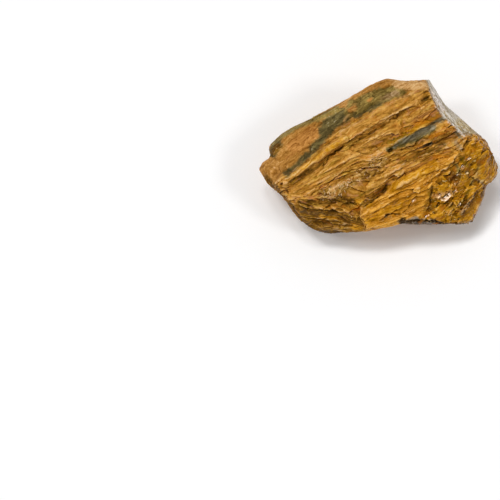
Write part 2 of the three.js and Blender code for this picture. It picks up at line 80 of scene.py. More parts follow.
def latticeValue(x, y, z, seed):
    # one fixed number from 0 to 1 for each lattice point
    mask = 0xFFFFFFFF
    mixed = (x.astype(np.int64) * 374761393) & mask
    mixed ^= (y.astype(np.int64) * 668265263) & mask
    mixed ^= (z.astype(np.int64) * 2147483629 + seed * 974634777) & mask
    mixed = ((mixed ^ (mixed >> 13)) * 1274126177) & mask
    mixed = ((mixed ^ (mixed >> 16)) * 2246822519) & mask
    return ((mixed ^ (mixed >> 15)) & 0xFFFFFF) / 0xFFFFFF


def smoothNoise(x, y, z, seed):
    # noise from -1 to 1
    cellX, cellY, cellZ = np.floor(x), np.floor(y), np.floor(z)
    shareX, shareY, shareZ = ease(x - cellX), ease(y - cellY), ease(z - cellZ)
    total = np.zeros_like(x)
    for i in (0, 1):
        weightX = shareX if i else 1 - shareX
        for j in (0, 1):
            weightY = shareY if j else 1 - shareY
            for k in (0, 1):
                weight = weightX * weightY * (shareZ if k else 1 - shareZ)
                total += weight * latticeValue(cellX + i, cellY + j, cellZ + k, seed)
    return 2 * total - 1


def layeredNoise(x, y, z, layers):
    # each layer: strength, size along x, size along y and z, and seed
    return sum(strength * smoothNoise(x / long, y / wide, z / wide, seed)
               for strength, long, wide, seed in layers)


def lineNoise(along, layers):
    # each layer: strength, size along the line, and seed
    level = np.zeros_like(along)
    return sum(strength * smoothNoise(along / size, level, level, seed) for strength, size, seed in layers)


def measureLine(line, a, b):
    # signed distance (positive to the left of the line's direction), place along it, and its length
    best = np.full(a.shape, 1e9)
    signed, along = np.zeros_like(a), np.zeros_like(a)
    total = 0.0
    for (startA, startB), (endA, endB) in zip(line[:-1], line[1:]):
        stepA, stepB = endA - startA, endB - startB
        length = math.hypot(stepA, stepB)
        share = np.clip(((a - startA) * stepA + (b - startB) * stepB) / length ** 2, 0, 1)
        gapA, gapB = a - startA - share * stepA, b - startB - share * stepB
        gap = np.hypot(gapA, gapB)
        closer = gap < best
        side = np.where(stepA * gapB - stepB * gapA >= 0, 1.0, -1.0)
        best = np.where(closer, gap, best)
        signed = np.where(closer, side * gap, signed)
        along = np.where(closer, total + share * length, along)
        total += length
    return signed, along, total


# small helpers for objects and meshes
def selectOnly(piece):
    bpy.ops.object.select_all(action="DESELECT")
    piece.select_set(True)
    bpy.context.view_layer.objects.active = piece


def applyModifier(piece, kind, **settings):
    modifier = piece.modifiers.new(kind.title(), kind)
    for name, value in settings.items():
        setattr(modifier, name, value)
    selectOnly(piece)
    bpy.ops.object.modifier_apply(modifier=modifier.name)


def readPoints(mesh):
    points = np.empty(len(mesh.vertices) * 3)
    mesh.vertices.foreach_get("co", points)
    return points.reshape(-1, 3)


def readNormals(mesh):
    normals = np.empty(len(mesh.vertices) * 3)
    mesh.vertex_normals.foreach_get("vector", normals)
    return normals.reshape(-1, 3)


def readEdges(mesh):
    edges = np.empty(len(mesh.edges) * 2, int)
    mesh.edges.foreach_get("vertices", edges)
    return edges.reshape(-1, 2)


def storeNumbers(mesh, name, values):
    attribute = mesh.attributes.new(name, "FLOAT", "POINT")
    attribute.data.foreach_set("value", values.astype(np.float32))


def evened(points, edges, passes):
    # each vertex moves half-way to the middle of its neighbours, again and again
    count = len(points)
    neighbours = np.bincount(edges.ravel(), minlength=count)[:, None]
    for _ in range(passes):
        total = np.empty_like(points)
        for axis in range(3):
            total[:, axis] = (np.bincount(edges[:, 0], points[edges[:, 1], axis], count)
                              + np.bincount(edges[:, 1], points[edges[:, 0], axis], count))
        points = 0.5 * points + 0.5 * total / neighbours
    return points


# Places are (a, b) in the stone's own frame, and all sizes are in mm.
stoneValues = {
    "node": "nellite_stone",
    "gridSize": 0.21,        # between the carved mesh's vertices
    "evening": 4,            # passes that take the solid's flat facets off
    "triangles": 190000,
    "restBand": 0.6,         # above the surface, where the relief fades out
    "grainTurn": {"main": 28, "fan": -4, "pits": 30, "hackle": 52.0, "paleEnd": -48.0},  # degrees
    "flare": 1.2,            # softens the change from one grain line to the next
    # How far across its bundle each line lies that the fibres follow, and the line.
    "grainLines": {
        "main": [
            (15, [(-34, -4), (-24.4, 1.2), (-17, 5.4), (-10.5, 9.4), (-3.4, 14), (3.4, 18), (16, 26)]),
            (9.8, [(-34, -13), (-21.3, -4.9), (-13.5, 1.2), (-3, 7.2), (4.3, 11.2), (11.4, 14.8),
                   (26, 23)]),
            (4.5, [(-34, -15), (-16.6, -5.6), (-9.2, -1.6), (-1.1, 2.3), (5.7, 4.4), (12.4, 8.1),
                   (30, 17)]),
            (0, [(-34, -17), (-21, -11), (-12.7, -6.8), (-7.3, -4.2), (0.4, -3), (8.4, 1.2), (16.5, 4.4),
                 (34, 11)]),
            (-6.6, [(-34, -27), (-8, -15.5), (-3.5, -13.2), (2.8, -9.8), (10.3, -5.7), (18, -2.3),
                    (34, 5)]),
            (-11.6, [(-20, -30), (-3.5, -18.4), (3, -15.4), (12.4, -11.3), (20, -8), (34, -1)]),
        ],
        "fan": [
            (0, [(-36, -12), (-24, -11.2), (-16.5, -11.4), (-11.9, -11.9), (-7.3, -13), (6, -18)]),
            (-3.4, [(-36, -11), (-24, -13.4), (-17.3, -14.9), (-11.1, -15.3), (-4.9, -17.4), (6, -22)]),
            (-8, [(-36, -17), (-22, -18.6), (-13.2, -19.2), (-4.6, -20.4), (6, -23)]),
        ],
    },
    # Lines where one zone meets the next, and the middle of the scaly band.
    "hinges": {
        "crest": [(-30, -9.4), (-21, -2.7), (-15.5, 2), (-9.2, 7.8), (-1.1, 12.4), (8.4, 16.5), (14, 18.6)],
        "lump": [(9, -20), (13.5, -9), (16.4, -4.8), (20.5, -1.2), (22.6, 2.4), (24.4, 8)],
        "fan": [(-36, -12), (-26, -10), (-19, -10.6), (-13, -10.6), (-8, -11.2), (-4.7, -13.3),
                (-5.1, -16.3), (-3.9, -18.9), (-3.8, -22)],
        "scaly": [(-14.6, -11), (-11.4, -9), (-5.6, -5.6), (1, -1.6)],
        "strata": [(-26, -11), (-21.5, -13.4), (-15.9, -14.6), (-10.5, -15.1), (-5, -17.4), (2, -20.6)],
        "paleEnd": [(12, 21.6), (13.1, 18), (15.1, 13.8), (17, 10.6), (19.8, 8.1), (22.6, 5.4), (28, 2)],
        "slab": [(-4.2, -21), (-3.9, -18.9), (-5.1, -16.3), (-4.6, -13.6), (1.4, -9.7), (3.4, -6.6),
                 (8, -4.9), (13.5, -2.3), (19, 0.3)],
    },
    # Where the zones end apart from their hinges, along a, b or c.
    "zoneEnds": {"weatheredLow": -9, "paleEndFront": 5.2, "paleEndLow": -9, "strataRight": -3.6,
                 "hackleBack": 8.5, "scalyHalf": 2.2},
    # Low on the sides, and where they are steep, the edges of zones and stains wander:
    # how far along a and along b, size on the face, size in depth, and seed.
    "wander": {"low": -7, "steep": 0.35, "a": (2.6, 5, 2.4, 18), "b": (1.2, 5, 2.4, 19)},
    # Noise in layers: strength, size along, size across and into the stone, and seed.
    "edgeWobble": [(0.9, 2.6, 2.6, 5), (0.4, 0.8, 0.8, 6)],
    "acrossWarp": [(0.9, 6, 4, 41), (0.35, 2.4, 1.6, 42), (0.12, 1.2, 0.7, 45)],
    "alongWarp": [(0.8, 2.5, 1.2, 47)],
    "hackleWarp": [(1.4, 4, 3, 51)],
    "slabCrinkle": [(0.1, 1.3, 2.2, 43)],
    "roundGrain": [(0.04, 0.5, 0.5, 8)],
    "drawnGrain": [(0.04, 2.5, 0.3, 9)],
    # Broken cells: size along, across and into the stone, slopes that vary by tilt about lean, and step.
    "splinterSets": [
        {"size": (9, 2.4, 2.4), "tilt": (0.03, 0.1, 0.1), "lean": (0, -0.1, -0.06), "step": 0.13,
         "seed": 3},
        {"size": (4.2, 1.15, 1.15), "tilt": (0.05, 0.15, 0.15), "lean": (0, -0.1, -0.06), "step": 0.085,
         "seed": 11},
        {"size": (1.9, 0.55, 0.55), "tilt": (0.08, 0.2, 0.2), "lean": (0, -0.1, 0), "step": 0.045,
         "seed": 23},
    ],
    "hackleSets": [
        {"size": (4.6, 1.9, 2.4), "tilt": (0.12, 0.24, 0.24), "lean": (0, 0, 0), "step": 0.12, "seed": 60},
        {"size": (2.2, 0.9, 1.2), "tilt": (0.1, 0.18, 0.18), "lean": (0, 0, 0), "step": 0.04, "seed": 75},
    ],
    "scaleSets": [
        {"size": (1.8, 0.8, 0.8), "tilt": (0.16, 0.3, 0.3), "lean": (0, 0, 0), "step": 0.11, "seed": 90},
        {"size": (0.8, 0.42, 0.42), "tilt": (0.2, 0.4, 0.4), "lean": (0, 0, 0), "step": 0.07, "seed": 95},
    ],
    "weatherSets": [
        {"size": (3.6, 2.0, 2.0), "tilt": (0.05, 0.08, 0.08), "lean": (0, 0, 0), "step": 0.07, "seed": 101},
        {"size": (1.2, 0.7, 0.7), "tilt": (0.08, 0.13, 0.13), "lean": (0, 0, 0), "step": 0.035,
         "seed": 107},
    ],
    "seamWidth": 0.22,       # of a cell
    "seamDepth": {"splinter": 0.6, "weather": 0.5, "hackle": 0.15, "scale": 0.8},  # of a step
    "slabCalm": 0.35,        # share of the relief that the slab, the smooth bands and the pale end lose
    "bandCalm": 0.6,
    "endCalm": 0.7,
    "underScales": 0.6,      # share of the splinters' relief that is left under the scales
    "softEdge": 0.9,         # over which smooth bands and stains begin
    # Where the surface turns away from the face it is calmer, and low on the sides rougher.
    "sides": {"calm": 0.4, "turned": 0.6, "low": -10, "rough": 1.3},
    # Crisp lips: each drops on the right of its line's direction.
    "ledges": [
        {"height": 0.25, "line": [(-26.6, -8.1), (-21.3, -4.9), (-16.7, -1.2), (-13.5, 1.4), (-9.4, 3.7)]},
        {"height": 0.55, "line": [(-9.9, 3.4), (-6.5, 5.2), (-3, 7.2), (0.3, 9.1), (4.3, 11.2),
                                  (11.4, 14.8)]},
        {"height": 0.35, "line": [(-6.6, 2), (-3.8, 3.3), (1.6, 6), (5.7, 8.4), (9.7, 10.3), (13.5, 12.2)]},
        {"height": 0.12, "line": [(2.4, 2.3), (5.7, 4.2), (8.9, 6.1), (12.4, 8.1), (16.5, 10.4)]},
        {"height": 0.3, "line": [(-16.6, -5.4), (-9.2, -1.6), (-4.6, 0.7), (-1.1, 2.3)]},
        {"height": 0.3, "line": [(4.3, -0.7), (8.4, 1.2), (12.4, 2.9), (16.5, 4.4), (20, 5.4)]},
        {"height": 0.35, "line": [(0.4, -5.9), (5.7, -3.5), (9.7, -1.4), (13.8, 0.3), (17.8, 2), (21, 3)]},
        {"height": 0.3, "line": [(-24, -9.9), (-18.6, -7.4), (-13.5, -4.4), (-9, -2.8)]},
        {"height": 0.5, "line": [(2.8, -9.8), (7, -7.3), (10.3, -5.7), (14, -3.9), (18, -2.3)]},
        {"height": 0.35, "line": [(-3.6, -16.1), (1.6, -13.4), (5.7, -11.2), (10.2, -9.2), (13.6, -7.6)]},
        {"height": 0.3, "line": [(-1.9, -18.2), (3, -15.4), (7.8, -13), (12.4, -11.3)]},
        {"height": 0.35, "line": [(-20.6, -17.2), (-15.9, -17.2), (-12, -17.6), (-7, -18.6)]},
        {"height": 0.3, "line": [(-18, -19.4), (-13.2, -19.2), (-8.6, -19.7), (-4.6, -20)]},
        {"height": 0.35, "line": [(-21.3, -12), (-16.5, -11.4), (-11.9, -11.7), (-7.3, -13)]},
        {"height": 0.4, "line": [(13.4, -6.4), (16.4, -4.4), (18.6, -2.9), (20.4, -1), (21.6, 1.2),
                                 (22.6, 3.4)]},
        {"height": 0.5, "line": [(15.2, -12.6), (16.9, -12.4), (18.4, -11.3), (21, -10)]},
        {"height": 0.6, "line": [(5.6, -17.4), (8, -17), (11, -16.9), (15, -17.5), (20, -18), (24, -18)]},
        {"height": 0.2, "line": [(21.4, -17), (23, -14.3), (24.4, -11.6), (26.6, -8.6), (30.4, -5.8)]},
    ],
    # A ledge rises along a curve to its lip, drops into a hollow, and reaches its foot further down.
    "ledgeShape": {"share": 0.7, "slope": 1.3, "curve": 1.6, "drop": 0.3, "hollow": -0.6, "reach": 1.2,
                   "foot": 0.9, "ends": 3, "wander": [(0.16, 0.9, 31), (0.3, 3.1, 32)],
                   "even": 0.75, "uneven": [(0.35, 2.3, 33)]},
    # Thin dark cracks.
    "cracks": [
        {"depth": 0.55, "width": 0.26, "line": [(-19, -11), (-16.5, -9.2), (-12.7, -6.6), (-10, -4.8),
                                                (-7.3, -4), (-3.5, -3.5), (1.4, -3)]},
        {"depth": 0.4, "width": 0.3, "line": [(-8.6, -16), (-3.5, -13.2), (-0.8, -11.3), (1.4, -9.4),
                                              (3.4, -6.6)]},
        {"depth": 0.7, "width": 0.4, "line": [(-22.6, -13.2), (-20.2, -14.6), (-17.3, -14.9),
                                              (-13.9, -14.9), (-11.4, -15.3), (-8, -15.9), (-4.9, -17.2)]},
        {"depth": 0.4, "width": 0.3, "line": [(-18.4, -17.1), (-14.5, -17.3), (-9.2, -17.9)]},
        {"depth": 0.4, "width": 0.26, "line": [(24.4, 5.6), (22.9, 2.7), (21.5, 1.1), (20.3, -1.6),
                                               (17.2, -3.2), (14.6, -4.6)]},
        {"depth": 0.35, "width": 0.3, "line": [(14.4, -8.4), (13.9, -12.4), (14.6, -14.6), (16.4, -15.4)]},
        {"depth": 0.45, "width": 0.24, "line": [(-9.1, 3.2), (-12.2, 0.9), (-14.2, -0.4)]},
        {"depth": 0.35, "width": 0.24, "line": [(-13.6, 0.4), (-14.6, -2), (-16.4, -4.6), (-17.6, -6.4)]},
        {"depth": 0.4, "width": 0.24, "line": [(13.2, 18.8), (15.1, 14.4), (18.4, 10.6), (21.4, 8)]},
        {"depth": 0.3, "width": 0.26, "line": [(24.9, -11.6), (23.2, -14.4), (22.6, -16.9)]},
        {"depth": 0.35, "width": 0.24, "line": [(-8.4, 2.2), (-3.4, 5.4), (1.6, 8.6), (6, 10.8)]},
        {"depth": 0.3, "width": 0.24, "line": [(-4.6, -6.4), (0.6, -4.4), (6.4, -1.4)]},
    ],
    "crackShape": {"ends": 1.5, "wander": [(0.2, 0.8, 37), (0.2, 2.6, 38)],
                   "even": 0.8, "uneven": [(0.4, 1.7, 39)]},
    # Rounded logs of fibre that stand proud, each blunt at the end of its line.
    "logs": [
        {"height": 0.5, "radius": 1.4, "line": [(-19.6, -2.4), (-15.4, 0.6), (-12, 2.8), (-9.6, 4.3)]},
        {"height": 0.5, "radius": 1.4, "line": [(2.6, -9), (8.4, -6.1), (12.6, -3.7), (15, -2.4)]},
        {"height": 0.4, "radius": 0.9, "line": [(-22, -9.3), (-25.2, -7.6), (-26.6, -7.4)]},
    ],
    "logEnd": 4,             # over which a log rises from nothing
    # Bands where the fibres lie close and the break is smooth: the half width of each, and its line.
    "smoothBands": [
        (1.9, [(-9, 6.4), (-3, 9.8), (1.6, 12.2), (6, 14.2), (10.5, 15.8)]),
        (1.5, [(-26, -7), (-20.4, -2.8), (-15, 0.8), (-9.6, 4.2)]),
        (2.2, [(-22, -8.4), (-15.4, -4.4), (-9, -1.2)]),
        (1.2, [(2.6, -9), (8.4, -6.1), (14.6, -2.6)]),
        (1.0, [(-6, 3.4), (0, 7), (6, 10)]),
        (1.5, [(4.6, 2.5), (8.4, 4.6), (12.4, 6.9), (16.8, 9.6)]),
    ],
    # Holes and dents: half length along the fibres, half width, and depth.
    "pits": [
        {"at": (12.4, 15.4), "length": 1.1, "width": 0.4, "depth": 0.5},
        {"at": (3, 1.6), "length": 0.6, "width": 0.4, "depth": 0.6},
        {"at": (13.3, 2.9), "length": 1.1, "width": 0.3, "depth": 0.6},
        {"at": (-26.35, -7.66), "length": 0.45, "width": 0.42, "depth": 0.9},
        {"at": (-24.8, -10), "length": 0.5, "width": 0.5, "depth": 0.5},
        {"at": (-27.8, -4.2), "length": 1.2, "width": 0.9, "depth": 0.4},
        {"at": (2.2, -16), "length": 0.6, "width": 0.4, "depth": 0.5},
    ],
    "pitEdge": [(0.25, 0.7, 0.7, 44)],
    # Flat facets: half length and half width, turn in degrees, rise along a and along b.
    "facets": [
        {"at": (25.5, -14), "size": (4.1, 1.4), "turn": 58, "rise": (-0.5, 0.2)},
        {"at": (26.2, 2.5), "size": (1.4, 1.1), "turn": 25, "rise": (-0.5, -0.25)},
        {"at": (27.6, -4.2), "size": (1.5, 0.9), "turn": 70, "rise": (-0.5, 0.2)},
        {"at": (14.6, -13.4), "size": (1.6, 1.0), "turn": 70, "rise": (0.1, 0.12)},
        {"at": (16.8, -6.6), "size": (1.3, 0.8), "turn": 40, "rise": (0.05, 0.05)},
        {"at": (19.4, -14.2), "size": (1.6, 0.7), "turn": 50, "rise": (-0.1, -0.05)},
        {"at": (24.2, -7.2), "size": (1.5, 0.7), "turn": 60, "rise": (-0.3, 0.1)},
    ],
    # Small glassy facets that catch the light.
    "glints": [
        {"at": (18.3, -11.2), "size": (1.5, 0.75), "turn": 38, "rise": (0.19, -0.23)},
        {"at": (16.2, -10.8), "size": (0.7, 0.4), "turn": 50, "rise": (0.19, -0.23)},
        {"at": (20.7, -9.6), "size": (0.6, 0.4), "turn": 20, "rise": (0.18, -0.22)},
        {"at": (22.5, -3.1), "size": (0.6, 0.45), "turn": 60, "rise": (0.19, -0.23)},
        {"at": (23.8, -4.5), "size": (0.5, 0.35), "turn": 40, "rise": (0.18, -0.23)},
        {"at": (21.4, -4.9), "size": (0.45, 0.3), "turn": 10, "rise": (0.19, -0.22)},
        {"at": (24.2, -0.8), "size": (1.0, 0.3), "turn": 30, "rise": (0.19, -0.23)},
        {"at": (20.6, -7.4), "size": (0.45, 0.3), "turn": 60, "rise": (0.19, -0.23)},
        {"at": (21.9, -13), "size": (0.7, 0.3), "turn": 55, "rise": (0.19, -0.22)},
        {"at": (13, -16.2), "size": (0.7, 0.3), "turn": 20, "rise": (0.19, -0.22)},
        {"at": (9.4, -12.2), "size": (0.7, 0.3), "turn": 30, "rise": (0.19, -0.22)},
    ],
    "facetEdge": [(0.2, 0.8, 0.8, 46)],
    "facetLow": -11,         # c below which there are no facets
    "facetSteep": 0.15,      # how far the surface has to look along c to hold one
    "glossShares": {"facet": 1.0, "hackle": 0.9, "slab": 0.8, "scaly": 0.6},
}


def toStoneFrame(points):
    # world metres to the stone's own a, b, c
    tilt = Matrix.Rotation(-math.radians(faceFrame["tilt"]), 3, "X")
    return (points / mm - np.array(faceFrame["centre"])) @ np.array(tilt).T


def fibrePlace(a, b, bundle):
    # place along and across the fibres, which bend to follow the bundle's grain lines
    weights, across = np.zeros_like(a), np.zeros_like(a)
    for offset, line in stoneValues["grainLines"][bundle]:
        distance = measureLine(line, a, b)[0]
        weight = 1 / (distance ** 2 + stoneValues["flare"]) ** 1.5
        weights += weight
        across += weight * (offset + distance)
    return turned(a, b, stoneValues["grainTurn"][bundle])[0], across / weights


def brokenCells(spot, values):
    # Cells that are small tilted planes with a step between neighbours.
    # Gives their height, one number for each cell, and the distance from the seam between two cells.
    size, seed = values["size"], values["seed"]
    scaled = [v / s for v, s in zip(spot, size)]
    corner = [np.floor(v) for v in scaled]
    nearest, second = np.full(scaled[0].shape, 1e9), np.full(scaled[0].shape, 1e9)
    height, number = np.zeros_like(nearest), np.zeros_like(nearest)
    for i in (-1, 0, 1):
        for j in (-1, 0, 1):
            for k in (-1, 0, 1):
                at = (corner[0] + i, corner[1] + j, corner[2] + k)
                gaps = [v - c - latticeValue(*at, seed + n) for n, (v, c) in enumerate(zip(scaled, at))]
                distance = gaps[0] ** 2 + gaps[1] ** 2 + gaps[2] ** 2
                closer = distance < nearest
                second = np.where(closer, nearest, np.minimum(second, distance))
                nearest = np.where(closer, distance, nearest)
                own = latticeValue(*at, seed + 6)
                plane = values["step"] * (2 * own - 1)
                for n, gap in enumerate(gaps):
                    slope = 2 * latticeValue(*at, seed + 3 + n) - 1
                    plane = plane + gap * size[n] * (values["lean"][n] + values["tilt"][n] * slope)
                height = np.where(closer, plane, height)
                number = np.where(closer, own, number)
    return height, number, np.sqrt(second) - np.sqrt(nearest)


def brokenRelief(along, across, depth, kind):
    # several sizes of cells on top of each other, with a groove at each seam
    height, tone, shares = 0, 0, (0.5, 0.3, 0.18)
    groove = stoneValues["seamDepth"][kind]
    for values, share in zip(stoneValues[kind + "Sets"], shares):
        cellHeight, number, seam = brokenCells((along, across, depth), values)
        height = height + cellHeight - groove * values["step"] * (1 - ease(seam / stoneValues["seamWidth"]))
        tone = tone + share * number
    return height, tone / sum(shares)


def brokenLine(line, shape, a, b):
    # signed distance from a line that wanders, and its strength, which is uneven and fades at the ends
    distance, along, total = measureLine(line, a, b)
    distance = distance + lineNoise(along, shape["wander"])
    strength = ease(along / shape["ends"]) * ease((total - along) / shape["ends"])
    return distance, strength * (shape["even"] + lineNoise(along, shape["uneven"]))


def ledgeRelief(ledge, a, b):
    shape = stoneValues["ledgeShape"]
    distance, strength = brokenLine(ledge["line"], shape, a, b)
    rise = np.clip(1 - distance / shape["slope"], 0, 1) ** shape["curve"]
    fall = mix(1, shape["hollow"], np.clip(-distance / shape["drop"], 0, 1))
    fall = fall * ease((shape["reach"] + distance) / shape["foot"])
    return shape["share"] * strength * ledge["height"] * np.where(distance >= 0, rise, fall)


def crackRelief(crack, a, b):
    distance, strength = brokenLine(crack["line"], stoneValues["crackShape"], a, b)
    return -strength * crack["depth"] * np.exp(-(distance / crack["width"]) ** 2)


def logRelief(log, a, b):
    distance, along = measureLine(log["line"], a, b)[:2]
    bulge = np.sqrt(np.clip(1 - (distance / log["radius"]) ** 2, 0, 1))
    return log["height"] * bulge * ease(along / stoneValues["logEnd"])


def pitRelief(pit, a, b):
    along, across = turned(a - pit["at"][0], b - pit["at"][1], stoneValues["grainTurn"]["pits"])
    rough = 1 + layeredNoise(a, b, a * 0, stoneValues["pitEdge"])
    reach = ((along / pit["length"]) ** 2 + (across / pit["width"]) ** 2) * rough
    return -pit["depth"] * np.exp(-reach ** 1.5)


def softCover(inside):
    # share from 0 to 1, by how far each place lies inside an edge
    return ease(inside / stoneValues["softEdge"] + 0.25)


def bandCover(a, b, wobble):
    # share of each place that lies within the smooth bands, whose edges are ragged
    cover = np.zeros_like(a)
    for width, line in stoneValues["smoothBands"]:
        distance = np.abs(measureLine(line, a, b)[0])
        cover = np.maximum(cover, softCover(width - distance + 0.3 * wobble))
    return cover


def facetCover(facet, a, b):
    # share of each place that the flat facet takes, and how far it is from the facet's middle
    fromA, fromB = a - facet["at"][0], b - facet["at"][1]
    along, across = turned(fromA, fromB, facet["turn"])
    edge = 1 + layeredNoise(a, b, a * 0, stoneValues["facetEdge"])
    reach = np.maximum(np.abs(along) / facet["size"][0], np.abs(across) / facet["size"][1]) * edge
    return ease((1.1 - reach) / 0.25), fromA, fromB


def wandered(place):
    # the places by which zones and stains are told apart
    a, b, c = place["a"], place["b"], place["c"]
    values = stoneValues["wander"]
    spill = np.maximum(ease((values["low"] - c) / 3), 1 - ease(place["facing"] / values["steep"]))
    shifts = []
    for axis in ("a", "b"):
        strength, size, depth, seed = values[axis]
        shifts.append(strength * spill * smoothNoise(a / size, b / size, c / depth, seed))
    return a + shifts[0], b + shifts[1]


def faceZones(place):
    # zones of the stone, each from 0 to 1, with edges that wander a little
    a, b, c, wobble = place["a"], place["b"], place["c"], place["wobble"]
    ends = stoneValues["zoneEnds"]
    distance = {name: measureLine(line, *place["wandered"])[0]
                for name, line in stoneValues["hinges"].items()}
    weathered = ease((distance["crest"] + 0.4 * wobble) / 1.4)
    weathered = weathered * (0.3 + 0.7 * ease((c - ends["weatheredLow"] + wobble) / 3))
    paleEnd = (ease((distance["paleEnd"] + 0.35 * wobble) / 0.7)
               * ease((b - ends["paleEndFront"] + wobble) / 1.4)
               * ease((c - ends["paleEndLow"] + 2 * wobble) / 5))
    strata = ease((0.3 - distance["strata"]) / 0.8) * ease((ends["strataRight"] - a) / 1.2)
    hackle = ease((-distance["lump"] + 0.6 * wobble) / 1.4)
    hackle = hackle * ease((ends["hackleBack"] - b + wobble) / 2) * (1 - paleEnd)
    slab = ease(-distance["slab"]) * (1 - hackle) * (1 - strata)
    fan = ease((0.3 - distance["fan"] - 0.35 * wobble) / 0.5)
    scaly = ease((ends["scalyHalf"] - np.abs(distance["scaly"]) + 0.8 * wobble) / 1.4) * (1 - strata)
    return {"weathered": weathered, "paleEnd": paleEnd, "strata": strata, "hackle": hackle,
            "slab": slab, "fan": fan, "scaly": scaly}


def alongFibres(place, zones):
    # the fibres' own coordinates: bent by the grain lines, fanned at the lower left, turned at the end
    a, b, c = place["a"], place["b"], place["c"]
    along, across = fibrePlace(a, b, "main")
    fanAlong, fanAcross = fibrePlace(a, b, "fan")
    along, across = mix(along, fanAlong, zones["fan"]), mix(across, fanAcross, zones["fan"])
    across = across + layeredNoise(along, across, c, stoneValues["acrossWarp"])
    along = along + layeredNoise(along, across, c, stoneValues["alongWarp"])
    endAlong, endAcross = turned(a, b, stoneValues["grainTurn"]["paleEnd"])
    return mix(along, endAlong, zones["paleEnd"]), mix(across, endAcross, zones["paleEnd"])


def zoneRelief(place, zones):
    # each zone breaks in its own way: splinters, worn lumps, scales or flakes
    a, b, c = place["a"], place["b"], place["c"]
    along, across = place["along"], place["across"]
    relief, tone = brokenRelief(along, across, c, "splinter")
    relief *= 1 - stoneValues["slabCalm"] * zones["slab"]
    worn, wornTone = brokenRelief(along, across, c, "weather")
    flakeAlong, flakeAcross = turned(a, b, stoneValues["grainTurn"]["hackle"])
    flakeAcross = flakeAcross + layeredNoise(flakeAlong, flakeAcross, c, stoneValues["hackleWarp"])
    hackled, hackleTone = brokenRelief(flakeAlong, flakeAcross, c, "hackle")
    scaled, scaleTone = brokenRelief(along, across, c, "scale")
    for zone, height, number in (("weathered", worn, wornTone),
                                 ("scaly", stoneValues["underScales"] * relief + scaled, scaleTone),
                                 ("hackle", hackled, hackleTone)):
        relief = mix(relief, height, zones[zone])
        tone = mix(tone, number, zones[zone])
    relief *= 1 - stoneValues["endCalm"] * zones["paleEnd"]
    relief *= 1 - stoneValues["bandCalm"] * bandCover(a, b, place["wobble"])
    relief += zones["slab"] * layeredNoise(along, across, c, stoneValues["slabCrinkle"])
    return relief, tone


def cutFacets(relief, place, zones):
    # flat facets replace the relief, and the glassy ones are marked for the gloss
    a, b, c = place["a"], place["b"], place["c"]
    onFace = (ease((c - stoneValues["facetLow"]) / 2)
              * ease((place["facing"] - stoneValues["facetSteep"]) / 0.2))
    zones["facet"], zones["glassy"] = np.zeros_like(a), np.zeros_like(a)
    for kind in ("facets", "glints"):
        for facet in stoneValues[kind]:
            cover, fromA, fromB = facetCover(facet, a, b)
            cover = cover * onFace
            level = np.average(c + relief, weights=cover + 1e-9)
            plane = level + facet["rise"][0] * fromA + facet["rise"][1] * fromB
            relief = mix(relief, plane - c, cover)
            zones["facet"] = np.maximum(zones["facet"], cover)
            if kind == "glints":
                zones["glassy"] = np.maximum(zones["glassy"], cover)
    return relief


def carveStone(stone):
    mesh = stone.data
    points, normals = readPoints(mesh), readNormals(mesh)
    tilt = math.radians(faceFrame["tilt"])
    faceNormal = np.array((0, -math.sin(tilt), math.cos(tilt)))
    a, b, c = toStoneFrame(points).T
    place = {"a": a, "b": b, "c": c, "facing": normals @ faceNormal}
    place["wobble"] = layeredNoise(a, b, c, stoneValues["edgeWobble"])
    place["wandered"] = wandered(place)
    zones = faceZones(place)
    place["along"], place["across"] = alongFibres(place, zones)

    relief, place["tone"] = zoneRelief(place, zones)
    for kind, shape in (("ledges", ledgeRelief), ("cracks", crackRelief),
                        ("logs", logRelief), ("pits", pitRelief)):
        for form in stoneValues[kind]:
            relief += shape(form, a, b)
    relief = cutFacets(relief, place, zones)
    gloss = np.max([share * zones[name] for name, share in stoneValues["glossShares"].items()], axis=0)
    grain = (layeredNoise(a, b, c, stoneValues["roundGrain"])
             + layeredNoise(place["along"], place["across"], c, stoneValues["drawnGrain"]))
    relief += grain * (1 - gloss) * (1 - zones["facet"])

    # the sides are duller and carved by their own measure, and the resting patch stays flat
    facing, sides = place["facing"], stoneValues["sides"]
    zones["gloss"] = gloss * ease(facing / 0.5)
    onSides = np.maximum(mix(sides["calm"], 1, ease(facing / sides["turned"])),
                         sides["rough"] * ease((sides["low"] - c) / 3))
    relief *= mix(onSides, 1, zones["facet"])
    relief *= ease((points[:, 2] / mm - 0.05) / stoneValues["restBand"])
    outward = mix(normals, faceNormal, zones["facet"][:, None])
    points = points + outward * (relief * mm)[:, None]
    points[:, 2] = np.maximum(points[:, 2], 0)
    mesh.vertices.foreach_set("co", points.ravel())
    mesh.update()
    print("stone carved")
    return place, zones


